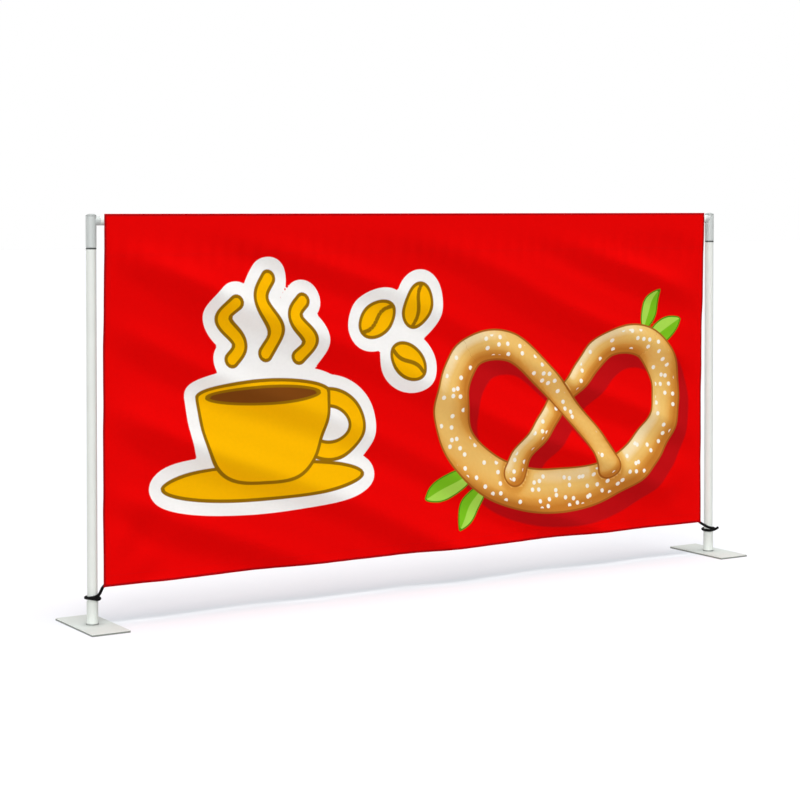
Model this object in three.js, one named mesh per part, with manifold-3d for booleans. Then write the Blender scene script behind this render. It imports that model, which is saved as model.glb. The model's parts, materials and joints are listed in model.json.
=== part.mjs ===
// Cafe barrier: a cloth banner on a crossbar, between two tube posts that stand on flat steel feet.
// Millimetres, +Z up. X runs along the barrier, the printed face looks towards -Y and the floor is Z = 0.
// The origin is on the floor, midway between the posts.

import * as THREE from 'three';
import { mergeVertices } from 'three/addons/utils/BufferGeometryUtils.js';
import Module from 'manifold-3d';

const wasm = await Module();
wasm.setup();

// Whole barrier
const barrierHeight = 1000;
const clearance = 0.3; // between neighbouring pieces
const overrun = 2; // how far a cutter passes the surface that it cuts

// Foot plate and its screw
const plateLength = 230; // across the barrier
const plateWidth = 100;
const plateThickness = 5;
const plateCornerRadius = 3;
const plateEdgeBevel = 0.5;
const screwDiameter = 8;
const screwLength = 28;
const screwHeadDiameter = 15.6;
const screwHeadRim = 0.5;
const screwTipChamfer = 1;
const hexAcrossFlats = 5;
const hexDepth = 2.8;

// Foot socket, welded to the plate
const socketHeight = 57;
const socketWall = 1.2;
const socketLipChamfer = 0.6;
const weldLeg = 2;

// Post and the plug in its foot
const postDiameter = 25;
const postWall = 1.2;
const plugFlangeHeight = 2.7;
const plugStemLength = 30;
const plugGrooveWidth = 2.5;
const plugGrooveDepth = 0.8;
const plugTipChamfer = 1.5;

// Swivel ring between post and connector
const ringDiameter = 25.6;
const ringHeight = 3.4;
const ringEdgeChamfer = 0.5;

// Corner connector
const barrelDiameter = 26;
const barrelHeight = 76;
const barrelWall = 2.4;
const barrelFloor = 4;
const barrelFootChamfer = 0.6;
const armReach = 20.7; // from the post's axis to the arm's shoulder
const armFlare = 0.5;
const armFlareLength = 4;
const armShoulderChamfer = 0.4;
const postSpigotLength = 56;
const armSpigotLength = 45;
const finThickness = 2.2;
const finCoreDiameter = 8;
const spigotRelief = 0.5;
const spigotLandLength = 9;
const spigotTipChamfer = 2.5;

// Domed cap
const capHeight = 5.6;
const capRimHeight = 1.1;
const capSkirtDepth = 7;
const capSkirtWall = 1.5;
const capShell = 1.6;

// Crossbar
const crossbarDiameter = 22;
const crossbarWall = 1.2;

// Banner
const bannerWidth = 1891;
const bannerSideGap = 29.5; // from the banner's side to the post's axis
const bannerFloorGap = 91.5;
const clothThickness = 1;
const ridgeHeight = 5; // hemmed top edge above the pocket
const pocketDrop = 80; // from the crossbar's axis down to the pocket's seam
const pocketSeamDepth = 10;
const foldTopGap = 20; // from the crossbar's axis down to where the folds begin
const foldDepth = 6.5;
const foldPitch = 185; // across the folds
const slowFoldPitch = 410;
const foldFadeLength = 140;
const cornerFadeLength = 200;

// Corner tab and tie
const tieDiameter = 7;
const tabWebbing = 1;
const tabWing = 7;
const tabLength = 22;
const tabCornerGap = 15; // from the banner's corner to the tab's near end

// Counts, angles and shares
const roundSteps = 40;
const domeSteps = 6;
const cornerSteps = 4;
const weldSteps = 3;
const postFinCount = 6;
const armFinCount = 4;
const plugGrooveCount = 2;
const pocketSteps = 4;
const bannerRows = 17;
const bannerColumns = 20;
const tieSides = 8;
const tieSteps = 72;
const foldSlope = THREE.MathUtils.degToRad(23);
const slowFoldShare = 0.55;
const edgeFoldShare = 0.35;
const cornerFlatShare = 0.5;
const tabSlope = THREE.MathUtils.degToRad(38.5);

// Sizes that follow from those above
const postRadius = postDiameter / 2;
const postBore = postRadius - postWall;
const socketBore = postRadius + clearance;
const socketRadius = socketBore + socketWall;
const barrelRadius = barrelDiameter / 2;
const crossbarRadius = crossbarDiameter / 2;
const crossbarBore = crossbarRadius - crossbarWall;
const barrelTop = barrierHeight - capHeight - clearance;
const barrelBottom = barrelTop - barrelHeight;
const ringTop = barrelBottom - clearance;
const postTop = ringTop - ringHeight - clearance;
const plugBottom = plateThickness + clearance;
const postBottom = plugBottom + plugFlangeHeight + clearance;
const postSpacing = bannerWidth + 2 * bannerSideGap; // from post axis to post axis
const crossbarHeight = barrelTop - armFlare - crossbarRadius;
const crossbarLength = postSpacing - 2 * (armReach + clearance);
const postX = postSpacing / 2;
const pocketRadius = crossbarRadius + clearance;
const bannerTop = crossbarHeight + pocketRadius + clothThickness + ridgeHeight;

const finishes = {
  paintedSteel: { color: 0xe3e6e1, roughness: 0.45, metalness: 0.1 },
  greyNylon: { color: 0xc3c8c7, roughness: 0.5, metalness: 0 },
  darkRubber: { color: 0x4a4f4d, roughness: 0.8, metalness: 0 },
  zincSteel: { color: 0xb9bcbf, roughness: 0.35, metalness: 0.9 },
  printedCloth: { color: 0xe60000, roughness: 0.75, metalness: 0 },
  blackWebbing: { color: 0x1a1a1a, roughness: 0.9, metalness: 0 },
  blackElastic: { color: 0x0c0c0c, roughness: 0.85, metalness: 0 },
};

const barrier = new THREE.Group();

function piece(name, geometry, finish) {
  const mesh = new THREE.Mesh(geometry, new THREE.MeshStandardMaterial(finish));
  mesh.name = name;
  return mesh;
}

// Shared vertices are merged and triangles that collapse at a pole are dropped.
function toSolid(geometry) {
  const bare = geometry.clone();
  bare.deleteAttribute('normal');
  bare.deleteAttribute('uv');
  const merged = mergeVertices(bare);
  const index = merged.index.array;
  const kept = [];
  for (let i = 0; i < index.length; i += 3) {
    const [a, b, c] = [index[i], index[i + 1], index[i + 2]];
    if (a !== b && b !== c && c !== a) kept.push(a, b, c);
  }
  const mesh = new wasm.Mesh({
    numProp: 3,
    vertProperties: new Float32Array(merged.attributes.position.array),
    triVerts: new Uint32Array(kept),
  });
  return new wasm.Manifold(mesh);
}

function toGeometry(solid) {
  const mesh = solid.getMesh();
  const geometry = new THREE.BufferGeometry();
  geometry.setAttribute('position', new THREE.BufferAttribute(mesh.vertProperties, 3));
  geometry.setIndex(new THREE.BufferAttribute(mesh.triVerts, 1));
  return geometry;
}

// A profile of [radius, height] points turned round the Z axis.
function turned(profile, steps = roundSteps) {
  const points = profile.map(([radius, height]) => new THREE.Vector2(radius, height));
  return new THREE.LatheGeometry(points, steps).rotateX(Math.PI / 2);
}

// A ring's profile closes on itself, so its first point is repeated.
function turnedRing(profile, steps = roundSteps) {
  return toGeometry(toSolid(turned([...profile, profile[0]], steps)));
}

function tube(outerRadius, boreRadius, bottom, top) {
  return turnedRing([
    [boreRadius, bottom],
    [outerRadius, bottom],
    [outerRadius, top],
    [boreRadius, top],
  ]);
}

function roundedRectangle(width, length, radius) {
  const x = width / 2 - radius;
  const y = length / 2 - radius;
  const shape = new THREE.Shape();
  shape.absarc(x, y, radius, 0, Math.PI / 2);
  shape.absarc(-x, y, radius, Math.PI / 2, Math.PI);
  shape.absarc(-x, -y, radius, Math.PI, 1.5 * Math.PI);
  shape.absarc(x, -y, radius, 1.5 * Math.PI, 2 * Math.PI);
  shape.closePath();
  return shape;
}

// The plate has softened edges and a countersunk hole at its centre.
function footPlate() {
  const inset = plateEdgeBevel;
  const outline = roundedRectangle(plateWidth - 2 * inset, plateLength - 2 * inset, plateCornerRadius);
  const plate = new THREE.ExtrudeGeometry(outline, {
    depth: plateThickness - 2 * plateEdgeBevel,
    bevelThickness: plateEdgeBevel,
    bevelSize: plateEdgeBevel,
    bevelSegments: 1,
    curveSegments: cornerSteps,
  }).translate(0, 0, plateEdgeBevel);
  const holeRadius = screwDiameter / 2 + clearance;
  const sinkRadius = screwHeadDiameter / 2 + clearance;
  const sinkFoot = clearance + screwHeadRim;
  const cutter = turned([
    [0, -overrun],
    [sinkRadius, -overrun],
    [sinkRadius, sinkFoot],
    [holeRadius, sinkFoot + sinkRadius - holeRadius],
    [holeRadius, plateThickness + overrun],
    [0, plateThickness + overrun],
  ]);
  return toGeometry(toSolid(plate).subtract(toSolid(cutter)));
}

// Countersunk screw with a hexagon socket, driven from below.
function footScrew() {
  const shankRadius = screwDiameter / 2;
  const headRadius = screwHeadDiameter / 2;
  const headFoot = clearance;
  const coneTop = headFoot + screwHeadRim + headRadius - shankRadius;
  const tip = headFoot + screwLength;
  const body = turned([
    [0, headFoot],
    [headRadius, headFoot],
    [headRadius, headFoot + screwHeadRim],
    [shankRadius, coneTop],
    [shankRadius, tip - screwTipChamfer],
    [shankRadius - screwTipChamfer, tip],
    [0, tip],
  ]);
  const hexRadius = hexAcrossFlats / 2 / Math.cos(Math.PI / 6);
  const socketLength = hexDepth + overrun;
  const socket = new THREE.CylinderGeometry(hexRadius, hexRadius, socketLength, 6)
    .rotateX(Math.PI / 2)
    .translate(0, 0, headFoot + hexDepth - socketLength / 2);
  return toGeometry(toSolid(body).subtract(toSolid(socket)));
}

// The socket tube with the round weld bead that joins it to the plate.
function footSocket() {
  const top = plateThickness + socketHeight;
  const bead = [];
  for (let i = 0; i <= weldSteps; i++) {
    const angle = (i / weldSteps) * (Math.PI / 2);
    const out = weldLeg * Math.cos(angle);
    const up = weldLeg * Math.sin(angle);
    bead.push([socketRadius + out, plateThickness + up]);
  }
  return turnedRing([
    [socketBore, plateThickness],
    ...bead,
    [socketRadius, top - socketLipChamfer],
    [socketRadius - socketLipChamfer, top],
    [socketBore, top],
  ]);
}

// Turned insert: a flange under the post's end, a grooved stem inside it and a tapped hole for the screw.
function postPlug() {
  const stemRadius = postBore - clearance;
  const holeRadius = screwDiameter / 2 + clearance;
  const flangeTop = plugBottom + plugFlangeHeight;
  const tip = flangeTop + plugStemLength;
  const grooves = [];
  const grooveGap = plugStemLength / (plugGrooveCount + 2);
  for (let i = 1; i <= plugGrooveCount; i++) {
    const start = flangeTop + i * grooveGap;
    grooves.push([stemRadius, start]);
    grooves.push([stemRadius - plugGrooveDepth, start]);
    grooves.push([stemRadius - plugGrooveDepth, start + plugGrooveWidth]);
    grooves.push([stemRadius, start + plugGrooveWidth]);
  }
  return turnedRing([
    [holeRadius, plugBottom],
    [postRadius, plugBottom],
    [postRadius, flangeTop],
    [stemRadius, flangeTop],
    ...grooves,
    [stemRadius, tip - plugTipChamfer],
    [stemRadius - plugTipChamfer, tip],
    [holeRadius, tip],
  ]);
}

function swivelRing() {
  const outer = ringDiameter / 2;
  const bottom = ringTop - ringHeight;
  return turnedRing([
    [postBore, bottom],
    [outer - ringEdgeChamfer, bottom],
    [outer, bottom + ringEdgeChamfer],
    [outer, ringTop - ringEdgeChamfer],
    [outer - ringEdgeChamfer, ringTop],
    [postBore, ringTop],
  ]);
}

// A star of straight fins round a core, as seen along the spigot.
function finStar(finCount, reach) {
  const half = finThickness / 2;
  const root = Math.sqrt((finCoreDiameter / 2) ** 2 - half ** 2);
  const fin = [[root, -half], [reach, -half], [reach, half], [root, half]];
  const outline = [];
  for (let i = 0; i < finCount; i++) {
    const turn = (i / finCount) * 2 * Math.PI;
    for (const [along, across] of fin) {
      outline.push(new THREE.Vector2(along, across).rotateAround(new THREE.Vector2(), turn));
    }
  }
  return new THREE.Shape(outline);
}

// A finned spigot that starts at Z = 0 and points up. Its fins reach the tube on two lands
// and taper at the tip.
function finnedSpigot(finCount, radius, length) {
  const fins = new THREE.ExtrudeGeometry(finStar(finCount, radius + overrun), {
    depth: length + overrun,
    bevelEnabled: false,
  }).translate(0, 0, -overrun);
  const relieved = radius - spigotRelief;
  const envelope = turned([
    [0, -overrun],
    [radius, -overrun],
    [radius, spigotLandLength],
    [relieved, spigotLandLength + spigotRelief],
    [relieved, length - spigotTipChamfer - spigotLandLength],
    [radius, length - spigotTipChamfer - spigotLandLength + spigotRelief],
    [radius, length - spigotTipChamfer],
    [radius - spigotTipChamfer, length],
    [0, length],
  ]);
  return toSolid(fins).intersect(toSolid(envelope));
}

function moved(solid, matrix) {
  return toSolid(toGeometry(solid).applyMatrix4(matrix));
}

// One hollow moulding: the barrel is cored from its open top, the arm leaves it towards +X with a
// flared root, and a finned spigot goes down into the post and another along X into the crossbar.
function connector() {
  const barrel = turned([
    [0, barrelBottom],
    [barrelRadius - barrelFootChamfer, barrelBottom],
    [barrelRadius, barrelBottom + barrelFootChamfer],
    [barrelRadius, barrelTop],
    [0, barrelTop],
  ]);
  const flareEnd = barrelRadius + armFlareLength;
  const arm = turned([
    [0, 0],
    [crossbarRadius + armFlare, 0],
    [crossbarRadius + armFlare, barrelRadius],
    [crossbarRadius, flareEnd],
    [crossbarRadius, armReach - armShoulderChamfer],
    [crossbarRadius - armShoulderChamfer, armReach],
    [0, armReach],
  ]);
  const core = turned([
    [0, barrelBottom + barrelFloor],
    [barrelRadius - barrelWall, barrelBottom + barrelFloor],
    [barrelRadius - barrelWall, barrelTop + overrun],
    [0, barrelTop + overrun],
  ]);
  const alongX = new THREE.Matrix4().makeRotationY(Math.PI / 2).setPosition(0, 0, crossbarHeight);
  const armEnd = new THREE.Matrix4().makeRotationY(Math.PI / 2).setPosition(armReach, 0, crossbarHeight);
  const downward = new THREE.Matrix4().makeRotationX(Math.PI).setPosition(0, 0, barrelBottom);
  const body = toSolid(barrel)
    .add(moved(toSolid(arm), alongX))
    .subtract(toSolid(core))
    .add(moved(finnedSpigot(postFinCount, postBore - clearance, postSpigotLength), downward))
    .add(moved(finnedSpigot(armFinCount, crossbarBore - clearance, armSpigotLength), armEnd));
  return toGeometry(body);
}

// A domed lid on the barrel, with a skirt that plugs its bore.
function connectorCap() {
  const rim = barrierHeight - capHeight;
  const skirtRadius = barrelRadius - barrelWall - clearance;
  const skirtFoot = rim - capSkirtDepth;
  const dome = [];
  for (let i = 0; i <= domeSteps; i++) {
    const angle = (i / domeSteps) * (Math.PI / 2);
    const rise = (capHeight - capRimHeight) * Math.sin(angle);
    dome.push([barrelRadius * Math.cos(angle), rim + capRimHeight + rise]);
  }
  dome[domeSteps][0] = 0;
  const profile = [
    [0, rim + capHeight - capShell],
    [skirtRadius - capSkirtWall, rim + capRimHeight],
    [skirtRadius - capSkirtWall, skirtFoot],
    [skirtRadius, skirtFoot],
    [skirtRadius, rim],
    [barrelRadius, rim],
    ...dome,
  ];
  return toGeometry(toSolid(turned(profile)));
}

function crossbar() {
  const geometry = tube(crossbarRadius, crossbarBore, -crossbarLength / 2, crossbarLength / 2);
  return geometry.rotateY(Math.PI / 2).translate(0, 0, crossbarHeight);
}

// One face of the cloth round the crossbar, as [y, z] points from the front to the back: a slope up
// to the crossbar's front, a flat front, a flat top, and corners round the back. The corners lie a
// little outside the radius, so that every side between them touches the circle.
function pocketFace(radius, drop, top) {
  const leave = Math.acos(radius / drop);
  const corner = (turn, half) => {
    const reach = radius / Math.cos(half);
    return [reach * Math.sin(turn), crossbarHeight - reach * Math.cos(turn)];
  };
  const [y, z] = corner((leave + Math.PI / 2) / 2, (Math.PI / 2 - leave) / 2);
  const face = [[-y, z], ...top];
  const step = (Math.PI - leave) / pocketSteps;
  for (let i = 0; i < pocketSteps; i++) face.push(corner(Math.PI - (i + 1 / 2) * step, step / 2));
  return face;
}

// The hung cloth seen along X, as [y, z] points. The outline goes up the back of the panel, round
// the pocket that is sewn behind it, to the hemmed top edge and down the front. The pocket's hole
// goes the other way round.
function bannerProfile() {
  const half = clothThickness / 2;
  const outer = pocketRadius + clothThickness;
  const seam = crossbarHeight - pocketDrop;
  const back = [];
  for (let i = 0; i <= bannerRows; i++) {
    back.push([half, bannerFloorGap + (i / bannerRows) * (seam - bannerFloorGap)]);
  }
  const front = back.map(([y, z]) => [-y, z]).reverse();
  const ridge = clothThickness - pocketRadius;
  const round = pocketFace(outer, pocketDrop, [
    [-outer, bannerTop],
    [ridge, bannerTop],
    [ridge, crossbarHeight + outer],
  ]);
  const topFront = [-pocketRadius, crossbarHeight + pocketRadius];
  const inner = pocketFace(pocketRadius, pocketDrop - pocketSeamDepth, [topFront]);
  const hole = [[0, seam + pocketSeamDepth], ...inner];
  return { outline: [...back, ...round.reverse(), ...front], hole };
}

const smooth = (from, to, value) => THREE.MathUtils.smoothstep(value, from, to);

// Sideways place of the cloth: two trains of soft folds that run down to +X. They fade out towards
// the pocket and the tied corners and are weaker along the side hems.
function foldOffset(x, z) {
  const across = x * Math.sin(foldSlope) + z * Math.cos(foldSlope);
  const quick = Math.sin((2 * Math.PI * across) / foldPitch);
  const slow = Math.sin((2 * Math.PI * (across + foldPitch)) / slowFoldPitch);
  const below = smooth(0, foldFadeLength, crossbarHeight - foldTopGap - z);
  const side = bannerWidth / 2 - Math.abs(x);
  const inward = edgeFoldShare + (1 - edgeFoldShare) * smooth(0, foldFadeLength, side);
  const corner = Math.hypot(side, z - bannerFloorGap) / cornerFadeLength;
  const free = smooth(cornerFlatShare, 1, corner);
  return foldDepth * below * inward * free * (quick + slowFoldShare * slow);
}

// One closed shell: the profile repeated in columns along X and bent by the folds. Its front and
// back are split along the same diagonals, so the cloth keeps its thickness in every fold.
function banner() {
  const { outline, hole } = bannerProfile();
  const ring = [...outline, ...hole];
  const places = [];
  for (let j = 0; j <= bannerColumns; j++) {
    const x = (j / bannerColumns) * bannerWidth - bannerWidth / 2;
    for (const [y, z] of ring) places.push(x, y + foldOffset(x, z), z);
  }
  const faces = [];
  const wall = (a, b) => {
    const rising = ring[b][1] > ring[a][1];
    for (let j = 0; j < bannerColumns; j++) {
      const [a0, b0] = [a + j * ring.length, b + j * ring.length];
      const [a1, b1] = [a0 + ring.length, b0 + ring.length];
      if (rising) faces.push(a0, b0, b1, a0, b1, a1);
      else faces.push(a0, b0, a1, b0, b1, a1);
    }
  };
  outline.forEach((_, i) => wall(i, (i + 1) % outline.length));
  hole.forEach((_, i) => wall(outline.length + i, outline.length + ((i + 1) % hole.length)));

  const cap = (a, b, c) => {
    const far = bannerColumns * ring.length;
    faces.push(far + a, far + b, far + c, c, b, a);
  };
  const last = outline.length - 1;
  for (let i = 0; i < bannerRows; i++) {
    cap(i, i + 1, last - i - 1);
    cap(i, last - i - 1, last - i);
  }
  const toPoints = (list) => list.map(([y, z]) => new THREE.Vector2(y, z));
  const pocket = outline.slice(bannerRows, outline.length - bannerRows);
  const ringIndex = (i) => (i < pocket.length ? i + bannerRows : i - pocket.length + outline.length);
  for (const face of THREE.ShapeUtils.triangulateShape(toPoints(pocket), [toPoints(hole)])) {
    cap(...face.map(ringIndex));
  }
  const geometry = new THREE.BufferGeometry();
  geometry.setAttribute('position', new THREE.Float32BufferAttribute(places, 3));
  geometry.setIndex(faces);
  return geometry;
}

// A webbing tunnel behind the banner's corner, seen along the cord: two sewn wings and a hump
// round the cord.
function cornerTab() {
  const bore = tieDiameter / 2 + clearance;
  const hump = bore + tabWebbing;
  const reach = hump + tabWing;
  const shape = new THREE.Shape();
  const meet = Math.asin((hump - tabWebbing) / hump);
  shape.moveTo(-reach, 0);
  shape.lineTo(reach, 0);
  shape.lineTo(reach, tabWebbing);
  shape.absarc(0, hump, hump, -meet, Math.PI + meet, false);
  shape.lineTo(-reach, tabWebbing);
  shape.closePath();
  const hole = new THREE.Path();
  hole.absarc(0, hump, bore, 0, 2 * Math.PI, true);
  shape.holes.push(hole);
  const geometry = new THREE.ExtrudeGeometry(shape, {
    depth: tabLength,
    bevelEnabled: false,
    curveSegments: roundSteps / 4,
  });
  const along = new THREE.Vector3(Math.cos(tabSlope), 0, Math.sin(tabSlope));
  const behind = new THREE.Vector3(0, 1, 0);
  const across = new THREE.Vector3().crossVectors(behind, along);
  const corner = new THREE.Vector3(-bannerWidth / 2, clothThickness / 2 + clearance, bannerFloorGap);
  const place = new THREE.Matrix4()
    .makeBasis(across, behind, along)
    .setPosition(corner.addScaledVector(along, tabCornerGap));
  return toGeometry(toSolid(geometry.applyMatrix4(place)));
}

// Route of the left tie from the post's axis: out of the tab, past the banner's corner, once round
// the post, and its tail.
const tieRoute = [
  [63.8, 5.6, 118.8],
  [56.0, 5.6, 112.6],
  [48.2, 5.6, 106.4],
  [40.4, 5.6, 100.2],
  [33.4, 5.4, 94.6],
  [27.6, 3.2, 89.8],
  [21.7, -2.4, 85.4],
  [15.6, -9.0, 81.2],
  [9.2, -13.7, 78.2],
  [1.4, -16.4, 76.6],
  [-6.9, -14.9, 75.6],
  [-13.5, -9.5, 74.8],
  [-16.4, -1.4, 74.0],
  [-14.9, 6.9, 73.0],
  [-9.5, 13.5, 72.0],
  [-1.4, 16.4, 71.0],
  [6.9, 14.9, 70.1],
  [13.5, 9.5, 69.4],
  [16.4, 1.4, 68.8],
  [15.0, -6.9, 68.4],
  [10.0, -14.0, 68.3],
  [2.0, -18.0, 69.0],
  [-6.5, -20.6, 70.6],
  [-14.5, -21.3, 72.8],
  [-22.0, -20.0, 75.2],
];

function tie() {
  const points = tieRoute.map(([x, y, z]) => new THREE.Vector3(x - postX, y, z));
  const corners = [];
  for (let i = 0; i < tieSides; i++) {
    const turn = (i / tieSides) * 2 * Math.PI;
    corners.push(new THREE.Vector2(Math.cos(turn), Math.sin(turn)).multiplyScalar(tieDiameter / 2));
  }
  const geometry = new THREE.ExtrudeGeometry(new THREE.Shape(corners), {
    steps: tieSteps,
    bevelEnabled: false,
    extrudePath: new THREE.CatmullRomCurve3(points),
  });
  return toGeometry(toSolid(geometry));
}

// The right-hand copy of a soft piece: mirrored in the plane X = 0, with its faces turned outwards
// again.
function mirrored(geometry) {
  const copy = geometry.clone().applyMatrix4(new THREE.Matrix4().makeScale(-1, 1, 1));
  const index = copy.index.array;
  for (let i = 0; i < index.length; i += 3) {
    [index[i + 1], index[i + 2]] = [index[i + 2], index[i + 1]];
  }
  return copy;
}

barrier.add(piece('crossbar', crossbar(), finishes.paintedSteel));
barrier.add(piece('banner', banner(), finishes.printedCloth));

const uprights = [
  ['connector', connector, finishes.greyNylon],
  ['connector_cap', connectorCap, finishes.greyNylon],
  ['swivel_ring', swivelRing, finishes.darkRubber],
  ['post', () => tube(postRadius, postBore, postBottom, postTop), finishes.paintedSteel],
  ['post_plug', postPlug, finishes.zincSteel],
  ['foot_socket', footSocket, finishes.paintedSteel],
  ['foot_plate', footPlate, finishes.paintedSteel],
  ['foot_screw', footScrew, finishes.zincSteel],
];
const softPieces = [
  ['corner_tab', cornerTab, finishes.blackWebbing],
  ['tie', tie, finishes.blackElastic],
];

for (const side of ['left', 'right']) {
  const upright = new THREE.Group();
  upright.position.x = side === 'left' ? -postX : postX;
  upright.rotation.z = side === 'left' ? 0 : Math.PI;
  for (const [name, make, finish] of uprights) upright.add(piece(`${name}_${side}`, make(), finish));
  barrier.add(upright);
  for (const [name, make, finish] of softPieces) {
    const geometry = side === 'left' ? make() : mirrored(make());
    barrier.add(piece(`${name}_${side}`, geometry, finish));
  }
}

export default barrier;
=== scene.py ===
import json
import math
from functools import partial

import bpy
import numpy as np
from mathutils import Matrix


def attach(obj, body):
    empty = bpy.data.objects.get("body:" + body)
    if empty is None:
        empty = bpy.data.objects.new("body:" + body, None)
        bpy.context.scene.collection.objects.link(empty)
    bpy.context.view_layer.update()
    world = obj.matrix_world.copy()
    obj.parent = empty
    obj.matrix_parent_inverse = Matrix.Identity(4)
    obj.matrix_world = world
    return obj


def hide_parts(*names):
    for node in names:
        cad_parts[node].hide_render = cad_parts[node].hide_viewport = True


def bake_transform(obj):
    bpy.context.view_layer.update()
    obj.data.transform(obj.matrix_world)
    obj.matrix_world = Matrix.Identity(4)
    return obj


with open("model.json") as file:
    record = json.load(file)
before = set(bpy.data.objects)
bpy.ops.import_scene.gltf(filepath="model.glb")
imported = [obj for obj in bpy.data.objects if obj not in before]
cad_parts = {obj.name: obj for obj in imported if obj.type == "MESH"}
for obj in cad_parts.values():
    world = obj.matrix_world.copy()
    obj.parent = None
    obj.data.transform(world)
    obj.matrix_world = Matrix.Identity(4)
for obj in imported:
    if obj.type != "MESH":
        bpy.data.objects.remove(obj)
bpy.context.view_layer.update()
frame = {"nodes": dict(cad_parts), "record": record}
nodes = frame["nodes"]
mm = 0.001
fullTurn = 2 * math.pi
bothSides = (("left", -1), ("right", 1))
behind = np.array([0.0, 1.0, 0.0])  # the direction away from the printed face
print("frame:", len(nodes), "nodes")


# Small helpers

def toLinear(hexColour):
    # one sRGB hex colour as the linear RGBA that the shaders take
    shares = [int(hexColour[i:i + 2], 16) / 255 for i in (1, 3, 5)]
    return [s / 12.92 if s <= 0.04045 else ((s + 0.055) / 1.055) ** 2.4 for s in shares] + [1.0]


def addNode(tree, kind, values=None):
    # A shader node. Each value is a setting of that name, or goes to the input of that name or
    # number as a constant, a hex colour, or a link from a node or an output.
    node = tree.nodes.new("ShaderNode" + kind)
    for key, value in (values or {}).items():
        if isinstance(value, str) and value.startswith("#"):
            value = toLinear(value)
        if isinstance(value, bpy.types.Node):
            value = value.outputs[0]
        if isinstance(value, bpy.types.NodeSocket):
            tree.links.new(value, node.inputs[key])
        elif isinstance(key, int) or key in node.inputs:
            node.inputs[key].default_value = value
        else:
            setattr(node, key, value)
    return node


def newMaterial(name):
    # an empty material, and addNode for its tree
    material = bpy.data.materials.new(name)
    material.use_nodes = True
    material.node_tree.nodes.clear()
    return material, partial(addNode, material.node_tree)


def closeMaterial(add, relief, values):
    # what every piece's material ends with; relief is its height, strength and depth in mm
    height, strength, depth = relief
    bump = add("Bump", {"Strength": strength, "Distance": depth * mm, "Height": height})
    surface = add("BsdfPrincipled", {**values, "Normal": bump})
    add("OutputMaterial", {"Surface": surface})


def unevenness(add, place, size, detail, *ranges):
    # one noise of a size in mm, and for each (spread, low, high) its middle part as low to high
    noise = add("TexNoise", {"Scale": 1 / (size * mm), "Detail": detail, "Vector": place})
    return noise, *[add("MapRange", {1: 0.5 - spread, 2: 0.5 + spread, 3: low, 4: high, 0: noise})
                    for spread, low, high in ranges]


def waves(add, place, pitch, axes):
    # sin(2 pi place / pitch) along each axis, with the pitch in mm
    turns = add("VectorMath", {"operation": "SCALE", "Scale": fullTurn / (pitch * mm), 0: place})
    split = add("SeparateXYZ", {0: turns})
    return [add("Math", {"operation": "SINE", 0: split.outputs[axis]}) for axis in axes]


def normalised(vectors):
    return vectors / np.linalg.norm(vectors, axis=-1, keepdims=True)


def smooth(low, high, value):
    # 0 below low, 1 above high, and the cubic 3t^2 - 2t^3 between
    t = np.clip((value - low) / (high - low), 0, 1)
    return t * t * (3 - 2 * t)


def onSlope(degrees):
    # along a slope in the banner's plane: (cos, 0, sin)
    return np.array([math.cos(math.radians(degrees)), 0, math.sin(math.radians(degrees))])


def gridFaces(rows, columns, closed=False):
    # quads between the points of a rows x columns grid, facing along (next row) x (next column)
    i = np.arange(rows - 1)[:, None]
    j = np.arange(columns if closed else columns - 1)[None, :]
    beside = (j + 1) % columns
    corners = [i * columns + j, (i + 1) * columns + j, (i + 1) * columns + beside, i * columns + beside]
    return np.stack(np.broadcast_arrays(*corners), -1).reshape(-1, 4)


def makeMesh(name, points, faceArrays, material, smoothShaded=True):
    # points is (n, 3); each of faceArrays is (faces, corners)
    mesh = bpy.data.meshes.new(name)
    mesh.vertices.add(len(points))
    mesh.vertices.foreach_set("co", np.asarray(points, np.float32).ravel())
    corners = np.concatenate([faces.ravel() for faces in faceArrays])
    sizes = np.concatenate([np.full(len(faces), faces.shape[1]) for faces in faceArrays])
    mesh.loops.add(len(corners))
    mesh.loops.foreach_set("vertex_index", corners.astype(np.int32))
    mesh.polygons.add(len(sizes))
    mesh.polygons.foreach_set("loop_start", (np.cumsum(sizes) - sizes).astype(np.int32))
    mesh.polygons.foreach_set("use_smooth", np.full(len(sizes), smoothShaded))
    mesh.update(calc_edges=True)
    mesh.validate()
    mesh.materials.append(material)
    piece = bpy.data.objects.new(name, mesh)
    bpy.context.scene.collection.objects.link(piece)
    return piece


def setUv(piece, across, along):
    # one UV per vertex, spread to the corners; in metres, so that patterns keep their real scale
    mesh = piece.data
    owner = np.zeros(len(mesh.loops), np.int32)
    mesh.loops.foreach_get("vertex_index", owner)
    places = np.stack([across, along], -1).astype(np.float32)[owner]
    mesh.uv_layers.new(name="cloth").data.foreach_set("uv", places.ravel())


def setAttribute(piece, name, values):
    attribute = piece.data.attributes.new(name, "FLOAT", "POINT")
    attribute.data.foreach_set("value", np.asarray(values, np.float32).ravel())


# Camera: left of the middle and slightly above the top edge. Most of the low framing is shift, so
# that the posts stay upright.

cameraValues = {
    "place": (-2.8747, -4.4445, 1.0127),
    "yaw": 32.016,  # degrees to the right of +Y
    "tilt": 1.376,  # degrees downwards
    "lens": 89.06, "sensor": 36,  # mm
    "shiftY": -0.18,
}


def makeCamera(v):
    data = bpy.data.cameras.new("photo_camera")
    data.sensor_width = v["sensor"]
    data.lens = v["lens"]
    data.shift_y = v["shiftY"]
    camera = bpy.data.objects.new("photo_camera", data)
    camera.location = v["place"]
    camera.rotation_euler = (math.radians(90 - v["tilt"]), 0, -math.radians(v["yaw"]))
    bpy.context.scene.collection.objects.link(camera)
    bpy.context.scene.camera = camera


makeCamera(cameraValues)
print("camera made")


# Braided elastic: black polyester braid over a rubber core. The eye sees a dull, very dark lattice
# # of small lozenges, whose hollows between the yarns are darkened with painted shade.

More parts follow.
